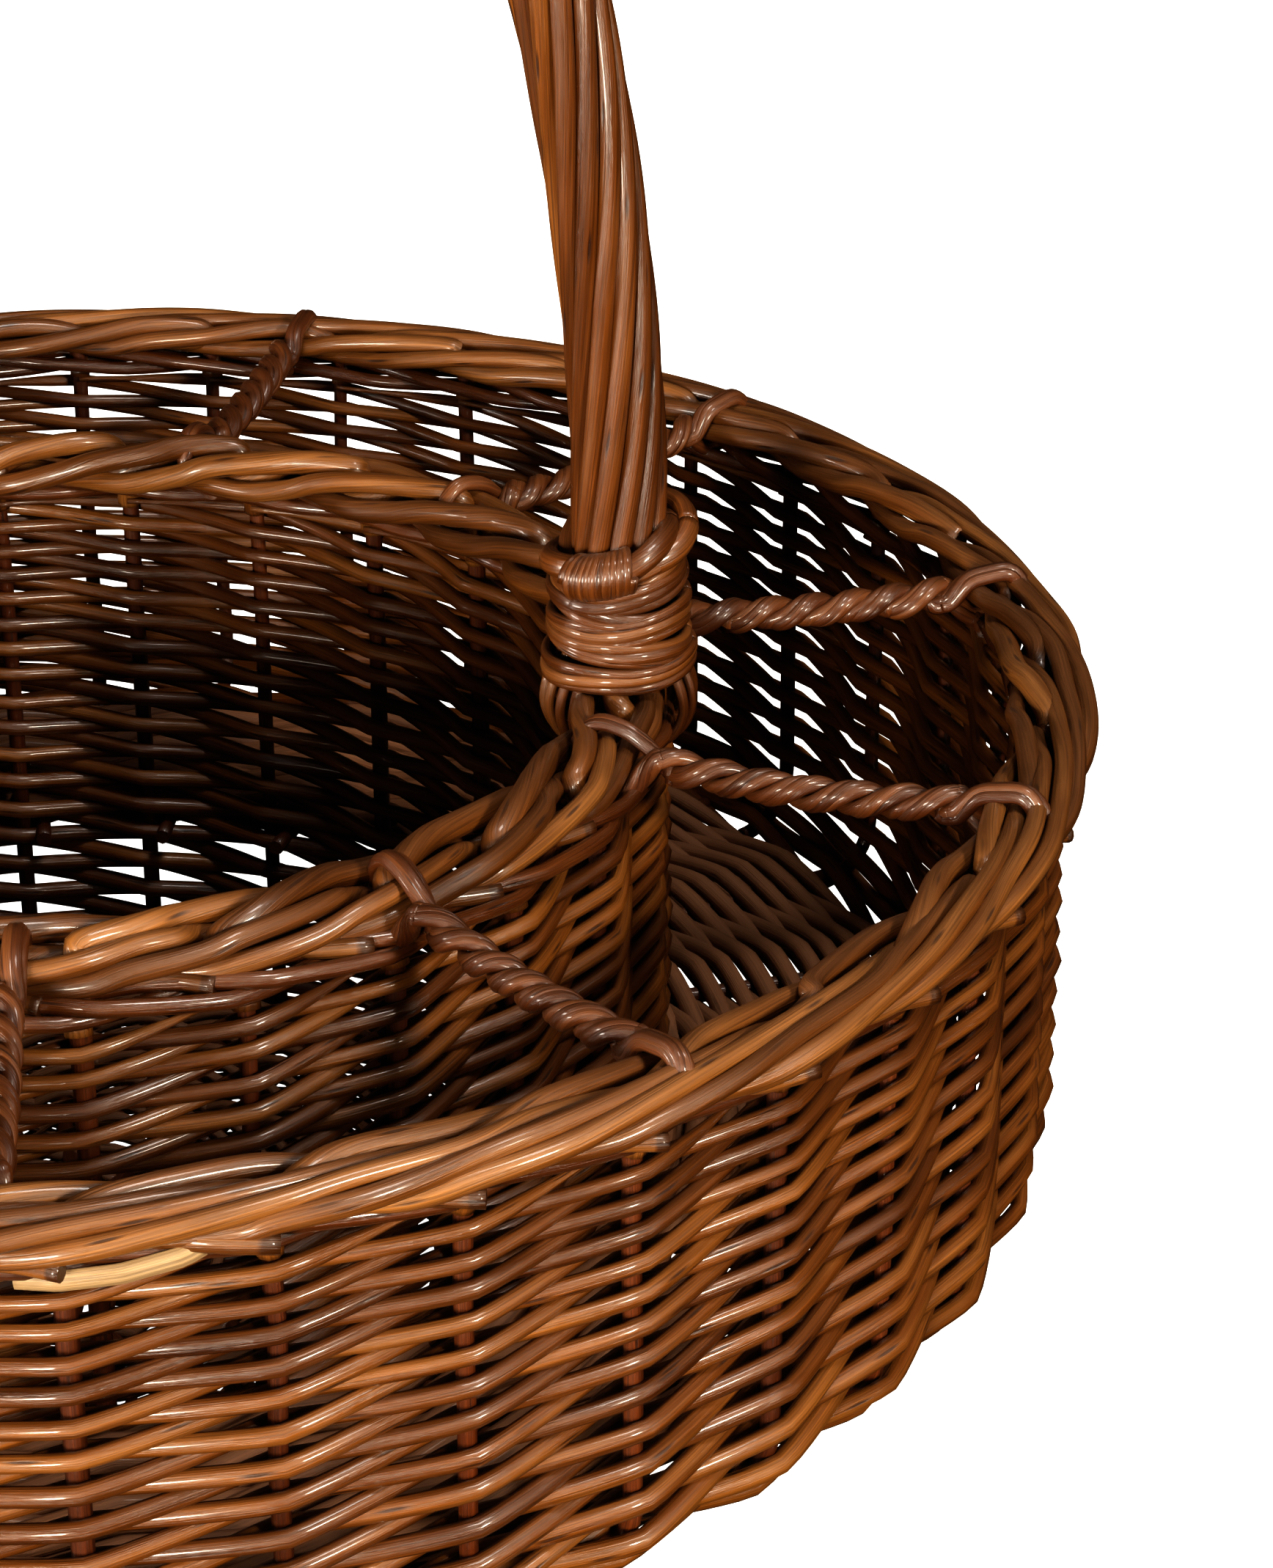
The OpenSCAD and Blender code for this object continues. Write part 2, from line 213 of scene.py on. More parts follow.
def willow_finish(name, dark, mid, light, rough, coat, dust_and_shade_amount, dust_and_shade_colour=(0.110, 0.058, 0.030)):
    """Varnished willow: colour by rod, lengthwise grain, small knots, dust on top, and painted light and
    shade: the dust colour is laid on more thickly towards +x to stand in for how that side is lit.
    """
    knot_colour = (0.022, 0.008, 0.004, 1.0)
    coat_rough = 0.13
    # painted light and shade: across these x values the dust colour goes from 0.4 to 2.2 times the dust
    # amount, for how the +x side is lit
    shade_side_from, shade_side_to = -0.05, 0.25
    finish = bpy.data.materials.new(name)
    finish.use_nodes = True
    tree = finish.node_tree
    tree.nodes.clear()

    def part(kind, feeds, **settings):
        made = tree.nodes.new("ShaderNode" + kind)
        for key, value in settings.items():
            setattr(made, key, value)
        for socket, value in feeds.items():
            if isinstance(value, bpy.types.NodeSocket):
                tree.links.new(value, made.inputs[socket])
            else:
                made.inputs[socket].default_value = value
        return made

    def worked(kind, a, b=0.0, clamp=False):
        return part("Math", {0: a, 1: b}, operation=kind, use_clamp=clamp).outputs[0]

    place = part("SeparateXYZ", {0: part("UVMap", {}, uv_map="rod").outputs[0]})
    around = worked("MULTIPLY", place.outputs[0], 2 * math.pi)
    skin = part(
        "CombineXYZ",
        {
            0: worked("COSINE", around),
            1: worked("SINE", around),
            2: place.outputs[1],
        },
    ).outputs[0]

    def stretched(around_scale, along_scale):
        scales = (around_scale, around_scale, along_scale)
        return part("VectorMath", {0: skin, 1: scales}, operation="MULTIPLY").outputs[0]

    def pattern(around_scale, along_scale, detail, roughness):
        place = stretched(around_scale, along_scale)
        return part(
            "TexNoise",
            {"Vector": place, "Scale": 1.0, "Detail": detail, "Roughness": roughness},
        ).outputs["Fac"]

    blotch = pattern(0.5, 22.0, 2.0, 0.55)
    grain = pattern(6.5, 26.0, 4.0, 0.62)
    speck = part("TexVoronoi", {"Vector": stretched(0.9, 38.0), "Scale": 1.0}).outputs["Distance"]
    knot = part("MapRange", {0: speck, 1: 0.09, 2: 0.20, 3: 1.0, 4: 0.0}).outputs[0]
    rod_tone = part("Attribute", {}, attribute_name="rod_tone").outputs["Fac"]
    shade = worked("ADD", worked("MULTIPLY", rod_tone, 0.34), worked("MULTIPLY", blotch, 0.64))
    ramp = part("ValToRGB", {0: shade})
    ramp.color_ramp.elements[0].position, ramp.color_ramp.elements[1].position = 0.2, 0.8
    ramp.color_ramp.elements[0].color = (*dark, 1.0)
    ramp.color_ramp.elements[1].color = (*light, 1.0)
    ramp.color_ramp.elements.new(0.5).color = (*mid, 1.0)
    streak = part("MapRange", {0: grain, 1: 0.32, 2: 0.68, 3: 0.50, 4: 1.22}).outputs[0]
    grained = part(
        "VectorMath",
        {0: ramp.outputs[0], 1: part("CombineXYZ", {0: streak, 1: streak, 2: streak}).outputs[0]},
        operation="MULTIPLY",
    ).outputs[0]
    knotted = part(
        "Mix",
        {0: worked("MULTIPLY", knot, 0.85), 6: grained, 7: knot_colour},
        data_type="RGBA",
    ).outputs[2]
    facing = part("SeparateXYZ", {0: part("NewGeometry", {}).outputs["Normal"]}).outputs[2]
    upward = part("MapRange", {0: facing, 1: 0.15, 2: 0.95, 3: 0.0, 4: 1.0}).outputs[0]
    # painted shade and light: more of the dust colour towards +x in object space, for the lighting of that
    # side rather than for more dust
    across = part("SeparateXYZ", {0: part("TexCoord", {}).outputs["Object"]}).outputs[0]
    dust_and_shade_by_side = part(
        "MapRange", {0: across, 1: shade_side_from, 2: shade_side_to, 3: 0.4 * dust_and_shade_amount, 4: 2.2 * dust_and_shade_amount}
    ).outputs[0]
    # real dust on upward faces, times the painted shade of the +x side
    lying_dust_and_shade = worked("MULTIPLY", upward, dust_and_shade_by_side)
    dust_and_shade_mask = worked("MULTIPLY", lying_dust_and_shade, worked("ADD", grain, 0.35), clamp=True)
    dust_and_shade_coloured = part(
        "Mix",
        {0: dust_and_shade_mask, 6: knotted, 7: (*dust_and_shade_colour, 1.0)},
        data_type="RGBA",
    ).outputs[2]
    polish = part("MapRange", {0: blotch, 1: 0.3, 2: 0.7, 3: rough - 0.07, 4: rough + 0.09}).outputs[0]
    ridges = worked("SUBTRACT", grain, worked("MULTIPLY", knot, 0.5))
    relief = part("Bump", {"Strength": 0.55, "Distance": 0.0005, "Height": ridges}).outputs[0]
    shader = part(
        "BsdfPrincipled",
        {
            "Base Color": dust_and_shade_coloured,
            "Roughness": worked("ADD", polish, worked("MULTIPLY", dust_and_shade_mask, 0.25), clamp=True),
            "Normal": relief,
            "Coat Weight": coat,
            "Coat Roughness": coat_rough,
        },
    )
    part("OutputMaterial", {0: shader.outputs[0]})
    return finish


def ring_line(radius, height, angle):
    """Points at radius and height round the axis of the well, and the way out from it."""
    angle = np.asarray(angle, float)
    way = np.stack([np.cos(angle), np.sin(angle), np.zeros_like(angle)], axis=-1)
    line = way * np.broadcast_to(radius, angle.shape)[..., None]
    line[..., 2] = height
    return line, way


UP = np.array([0.0, 0.0, 1.0])
dice = np.random.default_rng(11)

base_low, base_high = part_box("well_base_weave")
base_z = (base_low.z + base_high.z) / 2
base_r = base_high.x - 0.002
base_stick_r = 0.003
base_spoke_r = 0.0023
base_rod_r = 0.0019
base_pitch = 0.009
base_bundle_r = 0.018  # where four sticks side by side begin to open out
base_sticks = []
for turned in range(4):
    for place in (-1.5, -0.5, 0.5, 1.5):
        reach = np.linspace(0.0, base_r, 40)
        near = np.arcsin(np.clip(place * base_pitch / np.maximum(reach, base_bundle_r), -1, 1))
        opened = np.clip((reach - 0.022) / 0.05, 0, 1)
        opened = opened * opened * (3 - 2 * opened)
        angle = near * (1 - opened) + math.radians(22.5 * place) * opened
        lift = (0.0015 if turned % 2 else -0.0015) * (1 - opened)
        line = np.stack([reach * np.cos(angle), reach * np.sin(angle), base_z + lift], axis=-1)
        line[0, 1] = place * base_pitch
        quarter = np.array(Matrix.Rotation(turned * math.pi / 2, 3, "Z"))
        base_sticks.append(willow_rod(line @ quarter.T, UP, base_stick_r, dice))
for spoke in range(16):
    spoke_angle = (spoke + 0.5) * math.pi / 8 + math.pi / 16
    line, _ = ring_line(np.linspace(0.075, base_r, 20), base_z, np.full(20, spoke_angle))
    base_sticks.append(willow_rod(line, UP, base_spoke_r, dice))
stake_willow = willow_finish(
    "stake_willow",
    (0.0300, 0.0070, 0.0010),
    (0.0850, 0.0200, 0.0030),
    (0.1400, 0.0380, 0.0070),
    rough=0.4,
    coat=0.25,
    dust_and_shade_amount=0.12,
)
lay_rods("base_cross_sticks", base_sticks, stake_willow, ["well_base_sticks"])

floor_willow = willow_finish(
    "floor_willow",
    (0.1100, 0.0420, 0.0150),
    (0.1900, 0.0800, 0.0320),
    (0.2800, 0.1250, 0.0550),
    rough=0.55,
    coat=0.08,
    dust_and_shade_amount=0.5,
    dust_and_shade_colour=(0.210, 0.098, 0.045),
)
pairing_row = 0.0078
base_rods = []
for inner_r, outer_r, spokes in ((0.028, 0.076, 16), (0.078, base_r - 0.001, 32)):
    for weaver in range(2):
        turns = (outer_r - inner_r) / pairing_row
        t = np.linspace(0.0, turns * spokes, int(turns * spokes) * 7 + 1)
        line, _ = ring_line(
            inner_r + pairing_row * (t / spokes + weaver / 2.0) - pairing_row / 2 * weaver,
            base_z + 0.0034 * np.cos(np.pi * (t + weaver)),
            t * 2 * np.pi / spokes,
        )
        base_rods.append(willow_rod(line, UP, base_rod_r, dice))
lay_rods("base_pairing", base_rods, floor_willow, ["well_base_weave"], sides=6)

# ---------------------------------------------------------------------------
# Foot of the well: the ends of the well's stakes turned down and rolled into
# a low rope-like border, which the whole basket stands on.
# ---------------------------------------------------------------------------


def roll_border(radius, height, count, span, half_wide, half_high, thick, seed):
    """Rods of a rolled border. Each starts underneath at its own stake and
    runs along for span stakes, out, over the top and down the inner side."""
    luck = np.random.default_rng(seed)
    oval = np.linspace(-np.pi / 2, 3 * np.pi / 2, 721)
    oval_run = np.concatenate(
        [[0.0], np.cumsum(np.hypot(np.diff(half_wide * np.cos(oval)), np.diff(half_high * np.sin(oval))))]
    )
    oval_run /= oval_run[-1]
    step = 2 * np.pi / count
    rods = []
    for stake in range(count):
        t = np.linspace(0.0, 1.0, 15 * int(span) + 1)
        wander = np.interp(t, np.linspace(0, 1, 7), luck.normal(0.0, 0.006, 7))
        where = np.interp(np.clip(t + wander, 0, 1), oval_run, oval)
        puff = 1.0 + np.interp(t, np.linspace(0, 1, 6), luck.normal(0.0, 0.03, 6))
        across = half_wide * np.cos(where) * puff
        lift = half_high * np.sin(where) * puff
        along = t * span
        angle = (stake + 0.5 + along) * step
        line, _ = ring_line(radius + across, height + lift, angle)
        size = thick * (1.06 - 0.14 * t) * (1 + luck.normal(0.0, 0.03))
        size = np.interp(np.linspace(0, 1, len(line)), t, size)
        core, _ = ring_line(radius, height, angle)
        rods.append(willow_rod(line, line - core + 0.0004 * UP, size, luck))
    return rods


foot_low, foot_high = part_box("well_foot_rim")
foot_z = (foot_low.z + foot_high.z) / 2
foot_r = foot_high.x - 0.009
well_stake_count = 26
rim_willow = willow_finish(
    "rim_willow",
    (0.0550, 0.0170, 0.0022),
    (0.1380, 0.0480, 0.0080),
    (0.2850, 0.1200, 0.0280),
    rough=0.36,
    coat=0.3,
    dust_and_shade_amount=0.2,
)
lay_rods(
    "foot_border",
    roll_border(foot_r, foot_z, well_stake_count, 5, 0.0062, 0.0031, 0.0024, 21),
    rim_willow,
    ["well_foot_rim"],
)

# ---------------------------------------------------------------------------
# Well wall: 26 upright willow stakes with randing round them, every rod in
# front of one stake and behind the next while it climbs half a row per stake.
# ---------------------------------------------------------------------------


def upright_stakes(radius, low, high, count, thick, seed):
    """Straight stakes that stand in a ring, each a little out of true."""
    luck = np.random.default_rng(seed)
    stakes = []
    for stake in range(count):
        angle = (stake + 0.5) * 2 * np.pi / count
        sway = np.interp(np.linspace(0, 1, 24), np.linspace(0, 1, 5), luck.normal(0.0, 0.0022, 5))
        line, way = ring_line(radius, np.linspace(low, high, 24), angle + sway)
        stakes.append(willow_rod(line, way, thick * (1 + luck.normal(0.0, 0.05)), luck))
    return stakes


def randing(surface, length, count, gaps, climb, reach, thick, seed, way=1, steps=9):
    """Rods of French randing. One starts at each stake and passes gaps more,
    reach in front of one and reach behind the next. climb and thick say how
    it thins out: how much it rises per gap, and its radius, from butt to tip.
    surface gives radius, height and the way out for a run up the wall."""
    luck = np.random.default_rng(seed)
    rods = []
    t = np.linspace(0.0, gaps, gaps * steps + 1)
    bend = 0.993  # nearer to 1 gives straighter rods and sharper bends at the stakes
    swing = np.arcsin(bend * np.cos(np.pi * t)) / np.arcsin(bend)
    risen = climb[0] * t + (climb[1] - climb[0]) * t * t / (2 * gaps)
    risen *= length / risen[-1]
    for stake in range(count):
        uneven = np.interp(t, np.arange(gaps + 1), luck.normal(0.0, 0.0003, gaps + 1))
        depth = reach * (1 + np.interp(t, np.arange(gaps + 1), luck.normal(0.0, 0.06, gaps + 1)))
        run = np.clip(risen + uneven, 0.0, length)
        r, z, out_r, out_z = surface(run)
        r = r + out_r * swing * depth
        z = z + out_z * swing * depth
        angle = way * (stake + t) * 2 * np.pi / count + np.pi / count
        line, radial = ring_line(r, z, angle)
        out = radial * out_r[:, None] + UP * out_z[:, None]
        tip = np.clip((gaps - t) / 0.8, 0.4, 1)
        size = np.interp(t, [0, gaps], thick) * tip * (1 + luck.normal(0.0, 0.05))
        rods.append(willow_rod(line, out, size, luck))
    return rods


well_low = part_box("well_wall_lower")[0].z
well_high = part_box("well_wall_upper")[1].z
half_wall = 0.005  # from a wall's outer face to the line of its stakes
well_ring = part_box("well_wall_upper")[1].x - half_wall
weaver_r = 0.0025
randing_reach = 0.0050
under_wale = 0.006  # how far the well's randing runs up behind its wale
stake_into_rim = 0.004  # how far the well's stakes run into the foot and into the rim
stakes_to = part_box("inner_rim")[0].z + stake_into_rim
lay_rods(
    "well_stake_rods",
    upright_stakes(well_ring, well_low - stake_into_rim, stakes_to, well_stake_count, 0.0026, 31),
    stake_willow,
    ["well_stakes"],
)
weaver_willow = willow_finish(
    "weaver_willow",
    (0.0520, 0.0140, 0.0014),
    (0.1300, 0.0410, 0.0048),
    (0.2400, 0.0930, 0.0160),
    rough=0.33,
    coat=0.35,
    dust_and_shade_amount=0.08,
)


def well_surface(run):
    """The upright wall of the well, for a run up from its foot."""
    return (
        np.full_like(run, well_ring),
        well_low + weaver_r + run,
        np.ones_like(run),
        np.zeros_like(run),
    )


well_rise = well_high - well_low - weaver_r + under_wale
lay_rods(
    "well_randing",
    randing(
        well_surface, well_rise, well_stake_count, 37, (5.3, 3.7), randing_reach, (0.0028, 0.0023), 32
    ),
    weaver_willow,
    ["well_wall_lower", "well_stick_band", "well_wall_upper"],
)

# ---------------------------------------------------------------------------
# Waling and inner rim: one round of three twisted rods locks the stakes, which
# are then bent over to the right and laid over each other in a thick border.
# ---------------------------------------------------------------------------


def waling(radius, height, count, rounds, row, reach, thick, seed, steps=8):
    """Rods of a three-rod wale. Each goes in front of two stakes and behind
    one, turning over its neighbours, and climbs by row in each round."""
    luck = np.random.default_rng(seed)
    rods = []
    total = count * rounds
    t = np.linspace(0.0, total, total * steps + 1)
    for weaver in range(3):
        turn = 2 * np.pi * t / 3
        swing = np.clip(-1.35 * np.cos(turn) + 0.1, -1.0, 1.0)
        line, way = ring_line(
            radius + reach * swing,
            height + row * (t + weaver) / count + 0.0022 * np.sin(turn),
            (t + weaver + 0.5) * 2 * np.pi / count,
        )
        rods.append(willow_rod(line, way, thick * (1 + luck.normal(0.0, 0.04)), luck))
    return rods


inner_rim_low, inner_rim_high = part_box("inner_rim")
rim_z = (inner_rim_low.z + inner_rim_high.z) / 2
inner_rim_wide = 0.0125
inner_rim_r = inner_rim_high.x - inner_rim_wide
wale_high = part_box("well_waling")[1]
wale_drop = 0.0045  # from the top of the waling to the start of its round
wale_row, wale_rod_r = 0.0030, 0.0023
waling_willow = willow_finish(
    "waling_willow",
    (0.0350, 0.0090, 0.0015),
    (0.0850, 0.0240, 0.0040),
    (0.1600, 0.0520, 0.0110),
    rough=0.28,
    coat=0.6,
    dust_and_shade_amount=0.1,
)
lay_rods(
    "well_wale",
    waling(well_ring, wale_high.z - wale_drop, well_stake_count, 1, wale_row, 0.0052, wale_rod_r, 41),
    waling_willow,
    ["well_waling"],
)


def eased(controls, steps):
    """A smooth run through rows of control values, with steps to each row."""
    rows = np.asarray(controls, float)
    slope = np.gradient(rows, axis=0)
    i = np.repeat(np.arange(len(rows) - 1), steps)
    u = np.tile(np.arange(steps) / steps, len(rows) - 1)[:, None]
    run = (
        (2 * u**3 - 3 * u**2 + 1) * rows[i]
        + (u**3 - 2 * u**2 + u) * slope[i]
        + (3 * u**2 - 2 * u**3) * rows[i + 1]
        + (u**3 - u**2) * slope[i + 1]
    )
    return np.concatenate([run, rows[-1:]])


def laid_border(radius, count, stake_ring, course, thick, seed, unit=0.001):
    """Rods of a laid border. Every stake bends over to the right and follows
    course: rows of stakes passed, way outwards and way up from the rim."""
    luck = np.random.default_rng(seed)
    rods = []
    for stake in range(count):
        rows = np.array(course, float)
        rows[:, 1:] *= unit
        rows[0, 1] = stake_ring - radius
        rows[2:-1, 0] += luck.normal(0.0, 0.05, len(rows) - 3)
        rows[2:, 1] += luck.normal(0.0, 0.0005, len(rows) - 2)
        rows[2:, 2] += luck.normal(0.0, 0.0003, len(rows) - 2)
        run = eased(rows, 6)
        angle = (stake + 0.5 + run[:, 0]) * 2 * np.pi / count
        line, _ = ring_line(radius + run[:, 1], rim_z + run[:, 2], angle)
        core, _ = ring_line(radius, rim_z - 0.001, angle)
        taper = np.linspace(1.10, 0.78, len(line))
        cut_end = np.where(np.arange(len(line)) > len(line) - 3, 2.0, 0.0)
        size = thick * taper * (1 + luck.normal(0.0, 0.05))
        rods.append(willow_rod(line, line - core, size, luck, darker=cut_end))
    return rods


# up the stake and sharply over, down inside, out underneath, over the top, and tucked away
inner_course = [
    (0.0, 8.0, -17.0), (0.0, 5.5, -8.0), (0.0, 3.8, 0.5), (0.10, 2.2, 4.6), (0.38, -2.0, 6.0),
    (0.75, -5.8, 5.0), (1.15, -8.4, 2.4), (1.55, -9.4, -1.2), (1.95, -7.6, -4.2), (2.35, -1.0, -5.0),
    (2.7, 5.4, -4.8), (3.0, 9.0, -3.2), (3.35, 9.8, -0.6), (3.75, 9.4, 1.6), (4.05, 8.2, 2.8),
    (4.35, 5.2, 3.4), (4.6, 2.0, 2.6), (4.8, -1.2, 0.2), (5.0, -3.2, -2.8), (5.3, 0.5, -5.8),
    (5.55, 5.5, -6.8), (5.8, 10.2, -7.4),
]
lay_rods(
    "inner_border",
    laid_border(inner_rim_r, well_stake_count, well_ring, inner_course, 0.0034, 42),
    rim_willow,
    ["inner_rim"],
    sides=12,
)

# ---------------------------------------------------------------------------
# Floor of the ring tray: sticks pushed through the well's wall stand out like
# spokes, and randing goes round them, from the wall of the well outwards.
# ---------------------------------------------------------------------------
tray_low, tray_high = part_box("ring_floor_sticks")
tray_z = (tray_low.z + tray_high.z) / 2
tray_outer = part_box("ring_floor_weave")[1].x
tray_stick_r = 0.0025
stick_poke = 0.012  # how far the sticks' cut ends stand inside the well's stakes
beside_stake = math.radians(-2.2)
tray_dice = np.random.default_rng(51)
tray_sticks = []
for stake in range(well_stake_count):
    angle = (stake + 0.5) * 2 * np.pi / well_stake_count
    reach = np.linspace(well_ring - stick_poke, tray_outer + 0.004, 16)
    line, _ = ring_line(reach, tray_z, np.full(16, angle + beside_stake))
    tray_sticks.append(willow_rod(line, UP, tray_stick_r, tray_dice))
lay_rods("tray_sticks", tray_sticks, stake_willow, ["ring_floor_sticks"])


tray_start = 0.0075
tray_width = tray_outer - well_ring - tray_start - 0.0020


def tray_surface(run):
    """The flat floor of the tray, for a run outwards from the well."""
    return (
        well_ring + tray_start + run,
        np.full_like(run, tray_z),
        np.zeros_like(run),
        np.ones_like(run),
    )


lay_rods(
    "tray_randing",
    randing(
        tray_surface,
        tray_width,
        well_stake_count,
        19,
        (5.2, 4.8),
        randing_reach,
        (0.0031, 0.0028),
        52,
        way=-1,
    ),
    floor_willow,
    ["ring_floor_weave"],
)

# ---------------------------------------------------------------------------
# Outer wall: the tray's floor turns up into 39 stakes, and the same randing
# runs round the turn and up the wall without a break.
# ---------------------------------------------------------------------------
outer_stake_count = 39
turn_low, turn_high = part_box("outer_wall_turn")
wall_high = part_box("outer_wall")[1].z
outer_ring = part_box("outer_wall")[1].x - half_wall
turn_bend = turn_high.z - turn_low.z - half_wall
turn_centre_r = outer_ring - turn_bend
turn_run = turn_bend * math.pi / 2


def outer_surface(run):
    """The quarter turn at the wall's foot, and then the upright wall."""
    bent = np.clip(run / turn_bend, 0.0, math.pi / 2)
    risen = np.clip(run - turn_run, 0.0, None)
    return (
        turn_centre_r + turn_bend * np.sin(bent),
        turn_high.z - turn_bend * np.cos(bent) + risen,
        np.sin(bent),
        -np.cos(bent),
    )


outer_stakes = []
outer_stake_r = 0.0024
stake_run = turn_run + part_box("outer_rim")[0].z + 0.003 - turn_high.z
outer_dice = np.random.default_rng(61)
for stake in range(outer_stake_count):
    run = np.linspace(0.0, stake_run, 44)
    r, z, out_r, out_z = outer_surface(run)
    angle = (stake + 0.5) * 2 * np.pi / outer_stake_count
    sway = np.interp(run, np.linspace(0, run[-1], 5), outer_dice.normal(0.0, 0.0014, 5))
    line, way = ring_line(r, z, angle + sway)
    out = way * out_r[:, None] + UP * out_z[:, None]
    size = outer_stake_r * (1 + outer_dice.normal(0.0, 0.05))
    outer_stakes.append(willow_rod(line, out, size, outer_dice))
lay_rods("outer_stake_rods", outer_stakes, stake_willow, ["outer_stakes"])
outer_rise = turn_run + wall_high - turn_high.z + 0.005
lay_rods(
    "outer_randing",
    randing(
        outer_surface, outer_rise, outer_stake_count, 27, (5.6, 3.6), randing_reach, (0.0028, 0.0021), 62
    ),
    weaver_willow,
    ["outer_wall_turn", "outer_wall"],
)

# ---------------------------------------------------------------------------
# Outer wale and rim: one twisted round of three rods with a pale peeled one on
# it, then the ends of the 39 stakes laid over each other and cut off.
# ---------------------------------------------------------------------------
outer_rim_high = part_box("outer_rim")[1]
outer_rim_wide = 0.012
outer_rim_r = outer_rim_high.x - outer_rim_wide
outer_wale_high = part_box("outer_waling")[1]
lay_rods(
    "outer_wale",
    waling(outer_ring, outer_wale_high.z - wale_drop, outer_stake_count, 1, wale_row, 0.0056, wale_rod_r, 71),
    waling_willow,
    ["outer_waling"],
)
peeled_willow = willow_finish(
    "peeled_willow",
    (0.2600, 0.1550, 0.0700),
    (0.3600, 0.2350, 0.1200),
    (0.4600, 0.3150, 0.1700),
    rough=0.42,
    coat=0.25,
    dust_and_shade_amount=0.05,
)
peeled_r = 0.0016
peeled_part = np.linspace(0, 1, 24)
peeled, peeled_way = ring_line(
    outer_ring + np.interp(peeled_part, [0, 0.2, 0.8, 1], [0.0050, 0.0078, 0.0086, 0.0050]),
    outer_wale_high.z - np.interp(peeled_part, [0, 0.5, 1], [0.0060, 0.0050, 0.0005]),
    np.radians(np.linspace(-80.5, -71.5, 24)),
)
lay_rods(
    "peeled_rod",
    [{"line": peeled, "out": peeled_way, "thick": peeled_r, "wide": 1.7, "tone": 0.5}],
    peeled_willow,
)
# as inside, but flatter, and over the top for a longer way before the cut end
outer_course = [
    (0.0, 0.0, -15.0), (0.0, 0.0, -7.0), (0.02, -0.6, -1.5), (0.16, -1.6, 2.2), (0.5, -5.4, 3.4),
    (0.95, -8.6, 1.8), (1.35, -9.3, -0.6), (1.75, -6.6, -3.2), (2.2, 0.0, -3.8), (2.65, 6.6, -3.4),
    (3.05, 9.3, -1.4), (3.5, 9.2, 0.7), (4.0, 7.0, 2.6), (4.5, 4.7, 3.6), (5.0, 2.4, 3.6),
    (5.5, -0.2, 2.9), (5.85, -2.6, 0.2), (6.15, -3.0, -2.8), (6.5, 2.0, -4.8), (6.75, 6.0, -5.6),
    (7.0, 10.6, -6.2),
]
lay_rods(
    "outer_border",
    laid_border(outer_rim_r, outer_stake_count, outer_ring, outer_course, 0.0030, 72),
    rim_willow,
    ["outer_rim"],
    sides=10,
)

